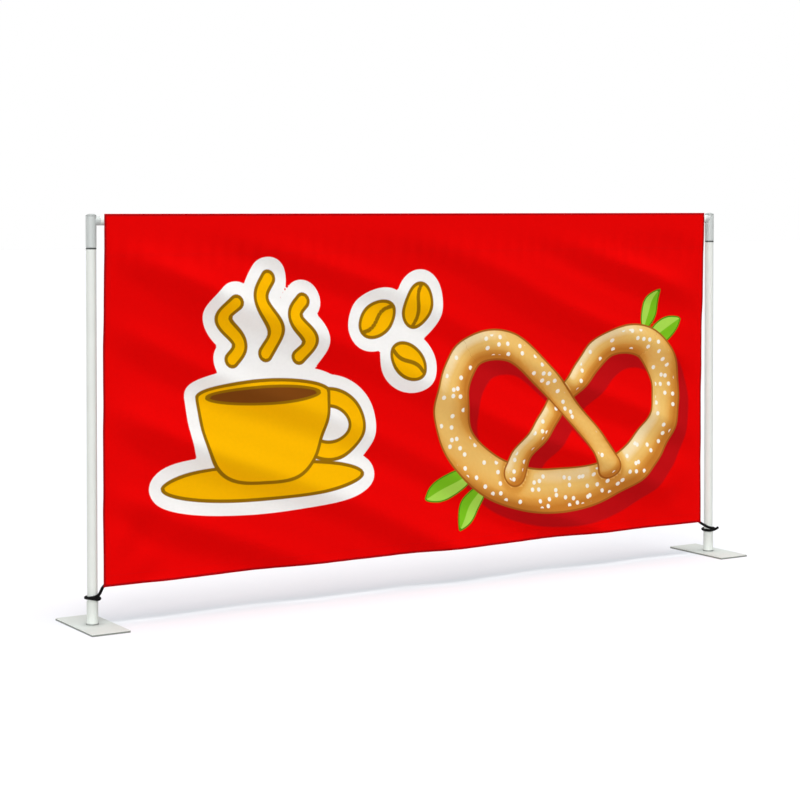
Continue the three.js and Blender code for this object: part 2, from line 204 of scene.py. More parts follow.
braidValues = {
    # gap is painted shade: the darker black in the hollows between the yarns
    "yarn": "#060606", "gap": "#010101",
    "yarnWidth": 0.42,  # mm, one yarn of the ten or so in a strand
    "roughness": 0.66, "gloss": 0.08,
    "strands": 12, "plait": 1.8,  # mm along the cord between the strands' crossings
    "around": 48,  # points of the mesh
    "core": 0.95, "swell": 0.07,  # shares of the radius: all of it, and added on a strand
    "tip": 0.35,  # of an end's rounding, as a share of the diameter
}


def makeBraidMaterial(v):
    material, add = newMaterial("braided_elastic_black")
    uv = add("UVMap", {"uv_map": "cloth"})
    split = add("SeparateXYZ", {0: uv})
    diagonal = add("Math", {"operation": "ADD", 0: split.outputs["X"], 1: split.outputs["Y"]})
    turns = add("Math", {"operation": "MULTIPLY", 1: fullTurn / (v["yarnWidth"] * mm), 0: diagonal})
    yarns = add("Math", {"operation": "SINE", 0: turns})
    height = add("MapRange", {1: -1.0, 2: 1.0, 3: 0.0, 4: 1.0, 0: yarns})
    # the colour runs by height from the painted shade of the hollows to the yarns' black
    colour = add("Mix", {"data_type": "RGBA", 6: v["gap"], 7: v["yarn"], 0: height})
    closeMaterial(add, (height, 0.5, 0.1),
                  {"Roughness": v["roughness"], "Specular IOR Level": v["gloss"],
                   "Base Color": colour.outputs[2]})
    return material


braid = makeBraidMaterial(braidValues)


def routeCurve(points, steps):
    # Catmull-Rom through the points: half of 2b + (c-a)t + (2a-5b+4c-d)t^2 + (3b-a-3c+d)t^3
    points = np.asarray(points, float)
    p = np.vstack([2 * points[0] - points[1], points, 2 * points[-1] - points[-2]])
    a, b, c, d = (p[i:len(p) - 3 + i][:, None] for i in range(4))
    t = np.linspace(0, 1, steps, endpoint=False)[None, :, None]
    curve = 2 * b + (c - a) * t + (2 * a - 5 * b + 4 * c - d) * t**2 + (3 * b - a - 3 * c + d) * t**3
    return np.vstack([curve.reshape(-1, 3) / 2, points[-1]])


def evenly(curve, spacing):
    # the same curve with its points a fixed distance apart, and their lengths along it
    lengths = np.r_[0, np.cumsum(np.linalg.norm(np.diff(curve, axis=0), axis=1))]
    along = np.linspace(0, lengths[-1], int(round(lengths[-1] / spacing)) + 1)
    return np.stack([np.interp(along, lengths, curve[:, k]) for k in range(3)], -1), along


def braidedCord(name, curve, diameter, upright=(0, 0, 1)):
    # Rings of a circle across the curve. Each ring's radius swells where a strand lies on top:
    # |sin| of (angle share + along/plait) times |sin| of (angle share - along/plait). The last
    # rings at either end close like a heat-sealed tip, by the circle's formula.
    v = braidValues
    plait, around = v["plait"] * mm, v["around"]
    path, along = evenly(curve, plait / 4)
    tangent = normalised(np.gradient(path, axis=0))
    side = normalised(np.cross(tangent, np.array(upright, float)))
    top = np.cross(side, tangent)
    angle = np.linspace(0, fullTurn, around, endpoint=False)[None, :]
    first = v["strands"] * angle / fullTurn + along[:, None] / plait
    second = v["strands"] * angle / fullTurn - along[:, None] / plait
    lattice = np.abs(np.sin(np.pi * first) * np.sin(np.pi * second))
    toEnd = np.minimum(along, along[-1] - along)
    tip = np.sqrt(np.clip(1 - (1 - np.clip(toEnd / (v["tip"] * diameter), 0, 1)) ** 2, 0.02, 1))
    radius = diameter / 2 * (v["core"] + v["swell"] * lattice**0.5) * tip[:, None]
    ring = np.cos(angle)[..., None] * side[:, None] + np.sin(angle)[..., None] * top[:, None]
    points = path[:, None] + radius[..., None] * ring
    rows = len(path)
    ends = np.array([np.arange(around)[::-1] + (rows - 1) * around, np.arange(around)])
    piece = makeMesh(name, points.reshape(-1, 3), [gridFaces(rows, around, closed=True), ends], braid)
    setUv(piece, np.tile(angle[0] * diameter / 2, rows), np.repeat(along, around))
    return piece, path, along[-1]


# Ties: 7.5 mm braided elastic, from a stopper knot above the corner tab, once round the post and
# over itself, to a short tail. The route is in mm from the post's axis, as in the solids.

cornerSlope = 38.5  # degrees, of tab and cord above the banner's corner
tieValues = {
    "diameter": 7.5,  # mm
    "knotDiameter": 0.98,  # share that is left of it in the knot, where it is pulled thin
    "postX": 975.0,  # mm
    "cornerX": 29.5, "cornerZ": 91.5,  # mm, of the banner's corner, from the post's axis
    "exit": 17.0,  # mm along the slope from the corner, where the cord leaves the tab
    "exitOff": 5.6,  # mm off the banner's middle plane, there
    "knotLow": 42.0, "knotHigh": 57.0,  # mm along the slope, of the turns' lowest and highest middle
    "knotCore": (45.0, 49.0, 54.0),  # mm along it, of the standing part inside the turns
    "knotRise": 1.5,  # mm, by which the first turn starts above the core
    "knotOff": 11.2,  # mm off the banner's middle plane
    "knotTurns": 2.2,
    "knotRadius": 6.7,  # mm, of the turns round the standing part
}
tieRoute = np.array([
    (64.2, 8.9, 119.1), (60.4, 6.7, 116.1), (56.0, 5.6, 112.6), (48.2, 5.6, 106.4), (40.4, 5.6, 100.2),
    (33.4, 5.4, 94.6), (27.6, 3.2, 89.7), (21.7, -2.4, 84.6), (15.6, -9.0, 80.0), (9.2, -13.9, 76.6),
    (1.4, -16.5, 74.2), (-6.9, -14.9, 72.6), (-13.5, -9.5, 71.6), (-16.4, -1.4, 70.9),
    (-14.9, 6.9, 70.3), (-9.5, 13.5, 69.8), (-1.4, 16.4, 69.4), (6.9, 14.9, 69.0), (13.5, 9.5, 68.6),
    (16.6, 1.4, 68.2), (15.9, -6.9, 67.9), (12.2, -14.6, 67.8), (5.5, -20.4, 68.4),
    (-3.0, -23.2, 70.2), (-12.0, -22.8, 72.4), (-20.5, -20.4, 74.6),
])


def knotRoute(v):
    # From the cord's upper end through the knot's middle, then outwards and back down it as a helix:
    # (r cos(2 pi t), r sin(2 pi t)) round the middle, with r growing from 0 over the first third.
    along = onSlope(cornerSlope)
    across = np.cross(behind, along)
    middle = np.array([v["cornerX"], v["knotOff"], v["cornerZ"]])
    low, high = v["knotLow"], v["knotHigh"]
    t = np.linspace(0, v["knotTurns"], 70)[:, None]
    radius = v["knotRadius"] * smooth(0, 0.34, t)
    place = high - (high - low) * smooth(-0.3, 1, t / v["knotTurns"])
    place = place + v["knotRise"] * (1 - smooth(0, 0.3, t))
    turns = middle + along * place + radius * (np.cos(fullTurn * t) * across
                                               + np.sin(fullTurn * t) * behind)
    core = middle + along * np.array(v["knotCore"])[:, None]
    return np.vstack([tieRoute[1], tieRoute[0], core, turns])


def besidePost(route, sign):
    # mm from the right post's axis as metres in the frame, mirrored for the left post
    return (route - (tieValues["postX"], 0, 0)) * (-sign, 1, 1) * mm


def makeTie(side, sign):
    v = tieValues
    diameter = v["diameter"] * mm
    tie, path, length = braidedCord(f"tie_{side}_braid", routeCurve(besidePost(tieRoute, sign), 12),
                                    diameter)
    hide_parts(f"tie_{side}")
    knot, _, _ = braidedCord(f"tie_{side}_knot", routeCurve(besidePost(knotRoute(v), sign), 4),
                             diameter * v["knotDiameter"], upright=(0, 1, 0.2))
    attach(knot, "frame")
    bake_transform(tie)
    print(f"tie {side}: {length / mm:.0f} mm long")


for side, sign in bothSides:
    makeTie(side, sign)


# Stitches, for every seam: each is a small lozenge of thread that rises out of the cloth and goes
# back in. Its rings swell by sin(pi t) and lie on a low arch of the same formula.

stitchValues = {
    "length": 4.2, "pitch": 5.4, "thread": 0.62, "lift": 0.25, "sink": 0.1,  # mm
    "thin": 0.35,  # share of its thickness at a stitch's ends
    "rings": 4, "around": 5,
}


def stitchRow(centres, along, outward):
    # centres, along and outward are (n, 3); all stitches are one array of rings
    v = stitchValues
    t = np.linspace(0.04, 0.96, v["rings"])[None, :, None, None]
    angle = np.linspace(0, fullTurn, v["around"], endpoint=False)[None, None, :, None]
    centre, run, up = (a[:, None, None, :] for a in (centres, normalised(along), normalised(outward)))
    beside = np.cross(run, up)
    arch = np.sin(np.pi * t)
    radius = v["thread"] / 2 * (v["thin"] + (1 - v["thin"]) * arch) * mm
    points = (centre + run * (t - 0.5) * v["length"] * mm + up * (arch * v["lift"] - v["sink"]) * mm
              + (beside * np.cos(angle) + up * np.sin(angle)) * radius)
    return points.reshape(-1, 3)


def makeStitches(name, rows, material):
    # rows is a list of (centres, along, outward)
    points = np.vstack([stitchRow(*row) for row in rows])
    around, rings = stitchValues["around"], stitchValues["rings"]
    size = around * rings
    starts = (np.arange(len(points) // size) * size)[:, None, None]
    walls = (gridFaces(rings, around, closed=True)[None] + starts).reshape(-1, 4)[:, ::-1]
    near = (np.arange(around)[::-1][None] + starts[:, 0]).reshape(-1, around)
    far = (np.arange(around)[None] + size - around + starts[:, 0]).reshape(-1, around)
    return makeMesh(name, points, [walls, near, far], material)


threadValues = {
    "banner": "#DB0404", "tab": "#2B2B2B",
    "roughness": 0.55, "gloss": 0.1,
    "twist": 0.5,  # mm
}


def makeThreadMaterial(name, colour, v):
    # twisted polyester thread: dull, with the twist as fine uneven bars
    material, add = newMaterial(name)
    place = add("TexCoord").outputs["Object"]
    twist, shade = unevenness(add, place, v["twist"], 1.0, (0.2, 0.75, 1.05))
    hue = add("HueSaturation", {"Color": colour, "Value": shade})
    closeMaterial(add, (twist, 0.4, 0.1),
                  {"Roughness": v["roughness"], "Specular IOR Level": v["gloss"], "Base Color": hue})
    return material


bannerThread = makeThreadMaterial("polyester_thread_red", threadValues["banner"], threadValues)
tabThread = makeThreadMaterial("polyester_thread_black", threadValues["tab"], threadValues)


# The banner's cloth: one strip, up from the bottom hem to the top edge, over it, round the
# crossbar's back as a sleeve and down to the seam. Lengths are in mm until the points are made.

clothValues = {
    "width": 1891.0,
    "bottom": 91.5, "top": 999.9,
    "barHeight": 982.6,
    "seam": 902.6,
    "sleeveRadius": 11.3,
    "sleeveInset": 12.0,  # of the sleeve's ends from the banner's sides
    "insetShares": (0.5, 0.8, 0.9),  # of that inset, in the rows just past the top fold
    "thickness": 0.6, "layerGap": 0.06,
    "rim": 0.4,  # width of the last faces beside an open edge
    "hem": 30.0,
    "sideHem": 20.0, "sideHemTop": 970.0,
    "narrowFrom": 14.0, "narrowTo": 2.0,  # below the sleeve's flap, where a side hem narrows
    "flap": 10.0,  # of the sleeve's seam allowance, below the seam on the back
    "seamRows": (1.5, 6.0),  # below the seam, of its two rows of stitches
    "hemRow": 3.0,  # of a hem's stitches, inside its sewn edge
    "topStitch": 997.0,
    "swing": 560.0,  # height from which the front leans out towards the crossbar's front
    "edgeShadeWidth": 5.2,  # width of the painted shade along the cloth's edges, where the hem rounds away from the light
    "spacing": 7.1,  # of the mesh
}
foldValues = {
    "depth": 8.2,  # mm
    "lean": 0.32,  # share of the second wave
    "slope": 23.0,  # degrees
    "pitch": 185.0, "slowPitch": 410.0, "slowShare": 0.55,
    "bend": 9.0, "bendPitch": 930.0, "bendStart": 0.8,  # how the folds' lines wave
    "swell": 0.25, "swellPitch": 1150.0,  # how their depth varies along them
    "edgeShare": 0.12,
    "topGap": 20.0,  # from the crossbar's axis down to where the folds begin
    "fade": 140.0, "cornerFade": 200.0,
    "creaseDepth": 1.3, "creases": 9, "creaseStart": 0.6,
    "creaseFrom": (60, 140), "creaseTo": (160, 430),  # from the corner
    "puckerDepth": 0.7, "hemPuckerShare": 0.8,
    # of the puckers along the seam and the hem: pitch, and how far and in what pitch it wanders
    "seamPucker": (47, 1.3, 310), "hemPucker": (61, 1.1, 390),
    "seamReach": (6, 62), "hemReach": (12, 75), "hemFree": (120, 240),
}
bannerHalf = clothValues["width"] / 2
halfPair = (clothValues["thickness"] + clothValues["layerGap"]) / 2
sleeveMiddle = clothValues["sleeveRadius"] + clothValues["thickness"] / 2


def puckers(x, pitch, wander, wanderPitch):
    return np.sin(fullTurn * x / pitch + wander * np.sin(fullTurn * x / wanderPitch))


def foldOffset(x, z):
    # Two trains of soft folds, sin p with p = 2 pi across / pitch and across = x sin(slope) + z
    # cos(slope). The quick one leans over, sin p - lean sin 2p, so that its undersides are steep.
    # They fade out below the crossbar, at the sides and at the tied corners. Creases fan out from
    # the corners as sin(9 angle), and short puckers follow the two seams.
    f = foldValues
    slope = math.radians(f["slope"])
    across = x * math.sin(slope) + z * math.cos(slope)
    along = x * math.cos(slope) - z * math.sin(slope)
    across = across + f["bend"] * np.sin(fullTurn * along / f["bendPitch"] + f["bendStart"])
    phase = fullTurn * across / f["pitch"]
    quick = np.sin(phase) - f["lean"] * np.sin(2 * phase)
    quick = quick * (1 + f["swell"] * np.sin(fullTurn * along / f["swellPitch"]))
    slow = np.sin(fullTurn * (across + f["pitch"]) / f["slowPitch"])
    below = clothValues["barHeight"] - f["topGap"] - z
    fromSeam = np.abs(clothValues["seam"] - z)
    above = z - clothValues["bottom"]
    side = bannerHalf - np.abs(x)
    corner = np.hypot(side, above)
    inward = f["edgeShare"] + (1 - f["edgeShare"]) * smooth(0, f["fade"], side)
    free = smooth(0.5 * f["cornerFade"], f["cornerFade"], corner)
    offset = f["depth"] * smooth(0, f["fade"], below) * inward * free * (quick + f["slowShare"] * slow)
    fan = np.sin(f["creases"] * np.arctan2(above, side) + f["creaseStart"])
    fan = fan * smooth(*f["creaseFrom"], corner) * (1 - smooth(*f["creaseTo"], corner))
    seam = puckers(x, *f["seamPucker"]) * (1 - smooth(*f["seamReach"], fromSeam))
    hem = puckers(x, *f["hemPucker"]) * (1 - smooth(*f["hemReach"], above))
    hem = f["hemPuckerShare"] * hem * smooth(*f["hemFree"], corner)
    return offset + f["creaseDepth"] * fan + f["puckerDepth"] * (seam + hem)


def frontPlace(z):
    # y of the front layer's middle: it hangs from the crossbar's front and swings back under it
    v = clothValues
    return -halfPair - (sleeveMiddle - halfPair) * smooth(v["swing"], v["barHeight"], z)


def clothShell(name, grid):
    # A grid of middle points in mm, given its thickness: middle + normal * half outside, middle -
    # normal * half inside, and a rim between. The outside faces (next row) x (next column).
    grid, half = grid * mm, clothValues["thickness"] * mm / 2
    rows, columns = grid.shape[:2]
    normal = normalised(np.cross(np.gradient(grid, axis=0), np.gradient(grid, axis=1)))
    points = np.vstack([(grid + normal * half).reshape(-1, 3), (grid - normal * half).reshape(-1, 3)])
    index = np.arange(rows * columns).reshape(rows, columns)
    border = np.r_[index[0, :-1], index[:-1, -1], index[-1, :0:-1], index[:0:-1, 0]]
    after = np.roll(border, -1)
    rim = np.stack([border, after, after + index.size, border + index.size], -1)
    front = gridFaces(rows, columns)
    return makeMesh(name, points, [np.vstack([front, front[:, ::-1] + index.size, rim])], bannerCloth)


def clothProfile():
    # middle line of the strip as (y, z), each row's inset from the sides, and the printed front's
    # first and last rows
    v = clothValues
    half, outer = halfPair, sleeveMiddle
    low = v["bottom"] + v["thickness"] / 2 + half
    high = v["top"] - v["thickness"] / 2 - half
    over = v["barHeight"] + outer
    bend = np.linspace(0, np.pi, 6)[1:-1]
    hemTop = v["bottom"] + v["hem"]
    hem = np.r_[hemTop, hemTop - v["rim"], np.linspace(hemTop - 6, low, 5)]
    front = np.linspace(low, high, int((high - low) / v["spacing"]) + 1)
    # the sleeve's back leaves the crossbar's circle along the tangent that ends at the seam
    seam = np.array([frontPlace(v["seam"]) + 2 * half, v["seam"]])
    drop = v["barHeight"] - v["seam"]
    leave = math.acos(outer / math.hypot(seam[0], drop)) + math.atan2(seam[0], drop)
    turn = np.linspace(math.pi, leave, 8)
    back = np.stack([outer * np.sin(turn), v["barHeight"] - outer * np.cos(turn)], -1)
    flap = v["seam"] - np.array([v["flap"] / 2, v["flap"] - v["rim"], v["flap"]])
    # from the top fold the back layer comes down to the crossbar's circle and turns onto it
    inner = 2 * half - outer
    bendOnto = [(inner, high), (inner, over + 0.6), (inner + 0.18, over + 0.18), (inner + 0.6, over),
                (inner / 2, over)]
    line = np.vstack([
        np.stack([np.full(len(hem), half), hem], -1),
        np.stack([half * np.cos(bend), low - half * np.sin(bend)], -1),
        np.stack([frontPlace(front), front], -1),
        np.stack([half - outer - half * np.cos(bend), high + half * np.sin(bend)], -1),
        bendOnto, back, np.linspace(back[-1], seam, 10)[1:],
        np.stack([frontPlace(flap) + 2 * half, flap], -1),
    ])
    first = len(hem) + len(bend)
    last = first + len(front)
    fold = last + len(bend) + 1  # the first row past the top fold
    inset = np.full(len(line), v["sleeveInset"])
    inset[:fold] = 0
    inset[fold:fold + 3] = v["sleeveInset"] * np.array(v["insetShares"])
    return line, inset, first, last


# The printed design: coffee and beans on a white sticker, and a salted pretzel with leaves. Each
# shape is a depth in mm, positive inside, that the cloth's material turns into a layer of ink.

outside = -99.0  # a depth that is nowhere near a shape
shapeMargin = 60  # how far round a shape its depth is worked out


def nearby(x, z, points, margin):
    # which places lie within a margin of the points' box
    (left, low), (right, high) = points.min(0) - margin, points.max(0) + margin
    return (x > left) & (x < right) & (z > low) & (z < high)


def outlineDepth(x, z, outline):
    # Distance to the nearest side of a closed outline, with its sign from the number of sides that
    # a ray towards +X crosses.
    depth = np.full(x.shape, outside)
    near = nearby(x, z, outline, shapeMargin)
    p = np.stack([x[near], z[near]], -1)[:, None]
    a, b = outline[None], np.roll(outline, -1, axis=0)[None]
    share = np.clip(((p - a) * (b - a)).sum(-1) / ((b - a) ** 2).sum(-1), 0, 1)
    distance = np.linalg.norm(p - a - share[..., None] * (b - a), axis=-1).min(1)
    spans = (a[..., 1] > p[..., 1]) != (b[..., 1] > p[..., 1])
    rise = np.where(b[..., 1] == a[..., 1], 1, b[..., 1] - a[..., 1])
    crossing = a[..., 0] + (p[..., 1] - a[..., 1]) * (b[..., 0] - a[..., 0]) / rise
    inside = (spans & (crossing > p[..., 0])).sum(1) % 2 == 1
    depth[near] = np.maximum(np.where(inside, distance, -distance), outside)
    return depth


def strokeDepth(x, z, path, radius):
    # radius minus distance, for the sample of the path where that is largest; also which sample
    depth, nearest = np.full(x.shape, outside), np.zeros(x.shape, int)
    near = nearby(x, z, path, shapeMargin + np.max(radius))
    gap = np.hypot(x[near][:, None] - path[None, :, 0], z[near][:, None] - path[None, :, 1])
    inside = radius - gap
    nearest[near] = inside.argmax(1)
    depth[near] = np.maximum(inside.max(1), outside)
    return depth, nearest


def turned(x, z, degrees):
    # places turned anticlockwise round the origin
    c, s = math.cos(math.radians(degrees)), math.sin(math.radians(degrees))
    return x * c - z * s, x * s + z * c


def ellipse(cx, cz, halfWidth, halfHeight, degrees=0, start=0, end=360, count=72):
    t = np.radians(np.linspace(start, end, count, endpoint=end - start < 360))
    return np.stack(turned(halfWidth * np.cos(t), halfHeight * np.sin(t), degrees), -1) + (cx, cz)


def flatPath(points, spacing=4.0):
    # Catmull-Rom through points in the banner's plane, evenly spaced
    curve = routeCurve(np.insert(np.asarray(points, float), 1, 0, axis=1), 16)
    return evenly(curve, spacing)[0][:, [0, 2]]


def toPlace(x, z, v):
    # places on the banner as places in a design that is drawn round its own centre
    return (x - v["centre"][0]) / v["size"], (z - v["centre"][1]) / v["size"]


stickerParts = ("saucer", "handle", "cup", "steam", "beans")
stickerValues = {
    "centre": (-500.0, 428.0),
    "size": 1.12,
    "cupHalfWidth": 172.0, "cupHeight": 205.0, "cupTop": 100,
    "bowlPower": 0.62,  # below 1 the bowl's sides stand steeper
    "rim": 36.0, "rimWidth": 24, "rimHeight": 13,
    "saucer": (0, -98, 262.0, 46.0),  # middle, half width and half height
    "handle": (168, 22, 74, 62, -14, -112, 112, 90), "handleHalf": 24.0,
    "steam": [(-84, 182, 310), (4, 192, 364), (92, 182, 310)],  # middle, low and high end of each
    "steamHalf": 20.0, "steamWave": 22,
    "bean": (58.0, 41.0), "grooveHalf": 5.0, "grooveWave": 8, "grooveShare": 0.86,
    "beans": [(296, 262, 32), (380, 160, -38), (408, 292, 74)],  # x, z and turn of each
}


def stickerShapes(x, z):
    v = stickerValues
    x, z = toPlace(x, z, v)
    t = np.radians(np.linspace(180, 360, 60))
    bowl = np.stack([v["cupHalfWidth"] * np.sign(np.cos(t)) * np.abs(np.cos(t)) ** v["bowlPower"],
                     v["cupTop"] + v["cupHeight"] * np.sin(t)], -1)
    lip = ellipse(0, v["cupTop"], v["cupHalfWidth"], v["rim"], 0, 0, 180, 40)[1:-1]
    coffee = ellipse(0, v["cupTop"] - 2, v["cupHalfWidth"] - v["rimWidth"], v["rim"] - v["rimHeight"])
    layers = {
        "saucer": outlineDepth(x, z, ellipse(*v["saucer"])),
        "handle": strokeDepth(x, z, ellipse(*v["handle"]), v["handleHalf"])[0],
        "cup": outlineDepth(x, z, np.vstack([bowl, lip])),
        "coffee": outlineDepth(x, z, coffee),
    }
    steam, beans, grooves = [], [], []
    t = np.linspace(0, 1, 60)
    for middle, low, high in v["steam"]:
        path = np.stack([middle + v["steamWave"] * np.sin(fullTurn * t), low + (high - low) * t], -1)
        steam.append(strokeDepth(x, z, path, v["steamHalf"])[0])
    along = np.linspace(-v["grooveShare"], v["grooveShare"], 40)
    for beanX, beanZ, turn in v["beans"]:
        beans.append(outlineDepth(x, z, ellipse(beanX, beanZ, *v["bean"], turn)))
        groove = turned(along * v["bean"][0], v["grooveWave"] * np.sin(np.pi * along), turn)
        groove = np.stack(groove, -1) + (beanX, beanZ)
        grooves.append(strokeDepth(x, z, groove, v["grooveHalf"])[0])
    layers["steam"] = np.max(steam, axis=0)
    layers["beans"] = np.max(beans, axis=0)
    layers["groove"] = np.max(grooves, axis=0)
    layers["sticker"] = np.max([layers[name] for name in stickerParts], axis=0)
    return {name: depth * v["size"] for name, depth in layers.items()}


pretzelValues = {
    "centre": (440.0, 452.0),
    "size": 0.95,
    # from the left arm's end round the left lobe to the middle of the belly; the right is its mirror
    "dough": [(-168, -178), (-118, -96), (-36, -6), (66, 98), (188, 190), (318, 182),
              (392, 72), (366, -74), (262, -176), (128, -228), (0, -240)],
    "belly": 66.0, "lobe": 50.0, "end": 34.0,  # half widths of the dough
    "armShare": 0.245,  # of the dough's length, in one arm
    "light": (-0.42, 0.62, 0.66),  # comes from: right, up, towards the eye
    "armShade": 0.55, "armShadeReach": 30,
    "shadowShift": (34.0, -44.0),
    # x, z, turn and length of each leaf
    "leaves": [(-396, -198, 205, 186), (-322, -262, 238, 165), (373, 220, 28, 172), (324, 285, 62, 148)],
    "leafWidth": 0.2,  # half width as a share of the length
    "leafBend": 0.00055,
}


def pretzelShapes(x, z):
    # The dough is a stroke of changing width. Its light is n . L, with the normal n of a round
    # section: (offset / radius, sqrt(1 - offset^2 / radius^2)).
    v = pretzelValues
    x, z = toPlace(x, z, v)
    points = np.array(v["dough"], float)
    path = flatPath(np.vstack([points, (points[:-1] * (-1, 1))[::-1]]))
    count = len(path)
    belly, lobe, end = v["belly"], v["lobe"], v["end"]
    width = np.interp(np.abs(np.linspace(-1, 1, count)), [0, 0.22, 0.5, 0.78, 0.95, 1],
                      [belly, belly * 0.94, lobe, end, end, end * 1.2])
    split = int(v["armShare"] * count)  # where an arm begins, on the lobe
    parts = {"dough": slice(split, count - split), "armUnder": slice(0, split + 1),
             "armOver": slice(count - split - 1, count)}
    light = normalised(np.array(v["light"]))
    layers, lights = {}, {}
    for name, part in parts.items():
        line, radius = path[part], width[part]
        depth, nearest = strokeDepth(x, z, line, radius)
        root = {"armUnder": len(line) - 1, "armOver": 0}.get(name, -1)
        layers[name] = np.where(nearest == root, outside, depth)
        offset = np.stack([x - line[nearest, 0], z - line[nearest, 1]], -1) / radius[nearest, None]
        height = np.sqrt(np.clip(1 - (offset**2).sum(-1), 0, 1))
        lit = offset[..., 0] * light[0] + offset[..., 1] * light[1] + height * light[2]
        lights[name] = np.clip(lit, 0, 1)
    # a soft shade on what an arm lies on, just outside the arm's edge
    shades = {arm: 1 - v["armShade"] * smooth(-v["armShadeReach"], 0, layers[arm]) * (layers[arm] < 0)
              for arm in ("armUnder", "armOver")}
    lights["armUnder"] *= shades["armOver"]
    lights["dough"] *= shades["armOver"] * shades["armUnder"]
    right, up = v["shadowShift"]
    layers["shadow"] = strokeDepth(x - right, z - up, path, width)[0]
    leaves, halves = [], []
    for leafX, leafZ, turn, length in v["leaves"]:
        along, across = turned(x - leafX, z - leafZ, -turn)
        across = across + v["leafBend"] * along**2
        half = v["leafWidth"] * length
        arc = ((length / 2) ** 2 + half**2) / (2 * half)
        gaps = [np.hypot(along, across + side * (arc - half)) for side in (-1, 1)]
        leaves.append(arc - np.maximum(*gaps))
        halves.append(across)
    leaves = np.array(leaves)
    layers["leaf"] = np.maximum(leaves.max(0), outside)
    layers["leafSide"] = np.take_along_axis(np.array(halves), leaves.argmax(0)[None], 0)[0]
    scaled = {name: depth * v["size"] for name, depth in layers.items()}
    return {**scaled, **{name + "Light": lit for name, lit in lights.items()}}


# Printed polyester: a woven flag cloth, dyed on one side. The eye sees a dull fine weave, colours
# that sink into the yarns, and a paler mirror image of them on the back. The real threads, four to
# a millimetre, are too fine to show, so they are drawn 1.3 mm apart.

printValues = {
    # rolled: a darker red, painted shade along the cloth's edges
    "red": "#EA0202", "rolled": "#A4070D", "shadow": "#B50E14",
    "white": "#FAFAF8", "gold": "#FBB900", "amber": "#966B06", "coffee": "#7A4312",
    "leaf": "#7AC11F", "leafEdge": "#4A8F16", "leafLight": "#A9DD52",
    "crust": "#A65E20", "dough": ["#C67C2C", "#E2A349", "#F0C46F", "#FBE6B6"],
    "doughEdges": (0.28, 0.56, 0.9), "doughSoft": (0.2, 0.17, 0.1),  # of light, between those inks
    "salt": "#FDF8EA", "saltPitch": 27.0, "saltShare": 0.42,  # mm; share of the cells left without
    "saltInset": 15,  # mm, of the salted dough from the crust's edge
    "sticker": 32,  # mm, of white round the drawing
    "outline": 9,  # mm, of the sticker's amber lines
    "reverse": 0.16,  # how much paler the back is
    "thread": 1.3,  # mm
    "gloss": 0.03,
}


def printInk(add, under, depth, edge, ink, soft=0.9, cover=1.0):
    # one ink on what is printed so far: it covers where the named depth is past an edge, in mm
    source = add("Attribute", {"attribute_name": depth}).outputs["Fac"]
    share = add("MapRange", {1: edge - soft, 2: edge + soft, 3: 0.0, 4: cover, 0: source})
    return add("Mix", {"data_type": "RGBA", 0: share, 6: under, 7: ink}).outputs[2]


def makeClothMaterial(v):
    material, add = newMaterial("printed_polyester_woven")
    uv = add("UVMap", {"uv_map": "cloth"})
    leaf = printInk(add, v["leaf"], "leafSide", 0, v["leafLight"])
    inks = [("shadow", 0, v["shadow"], 3.0, 0.85), ("leaf", 0, v["leafEdge"]), ("leaf", 4, leaf)]
    grains = add("TexVoronoi",
                 {"voronoi_dimensions": "2D", "Randomness": 0.85, "Scale": 1 / (v["saltPitch"] * mm),
                  "Vector": uv})
    grain = add("MapRange", {1: 0.2, 2: 0.25, 3: 1.0, 4: 0.0, 0: grains.outputs["Distance"]})
    chosen = add("Math", {"operation": "GREATER_THAN", 1: v["saltShare"], 0: grains.outputs["Color"]})
    salt = add("Math", {"operation": "MULTIPLY", 0: grain, 1: chosen})
    for name in ("dough", "armUnder", "armOver"):
        inner = v["dough"][0]
        for edge, ink, soft in zip(v["doughEdges"], v["dough"][1:], v["doughSoft"]):
            inner = printInk(add, inner, name + "Light", edge, ink, soft)
        salted = add("Mix", {"data_type": "RGBA", 7: v["salt"], 0: salt, 6: inner}).outputs[2]
        inner = printInk(add, inner, name, v["saltInset"], salted)
        inks += [(name, 0, v["crust"]), (name, 5, inner)]
    inks.append(("sticker", -v["sticker"], v["white"]))
    for name in stickerParts:
        inks += [(name, 0, v["amber"]), (name, v["outline"], v["gold"])]
    # the last ink is the painted shade along the cloth's edges
    inks += [("groove", 0, v["amber"]), ("coffee", 0, v["amber"]), ("coffee", 7, v["coffee"]),
             ("rolled", 0, v["rolled"], 2.4)]
    colour = v["red"]
    for ink in inks:
        colour = printInk(add, colour, *ink)
    face = add("Attribute", {"attribute_name": "printed"}).outputs["Fac"]
    reverse = add("Mix", {"data_type": "RGBA", 0: v["reverse"], 7: v["white"], 6: colour})
    shown = add("Mix", {"data_type": "RGBA", 0: face, 6: reverse.outputs[2], 7: colour})
    # the weave: threads along both directions, sin u * sin v, with uneven yarns under them
    warp, weft = waves(add, uv, v["thread"], "XY")
    weave = add("Math", {"operation": "MULTIPLY", 0: warp, 1: weft})
    _, tone, rough = unevenness(add, uv, 9, 3.0, (0.2, 0.985, 1.015), (0.3, 0.66, 0.8))
    toned = add("HueSaturation", {"Color": shown.outputs[2], "Value": tone})
    closeMaterial(add, (weave, 0.3, 0.05),
                  {"Specular IOR Level": v["gloss"], "Base Color": toned, "Roughness": rough})
    return material


bannerCloth = makeClothMaterial(printValues)


def twice(values):
    # a grid's values for the points of its outside and its inside
    return np.concatenate([np.ravel(values)] * 2)


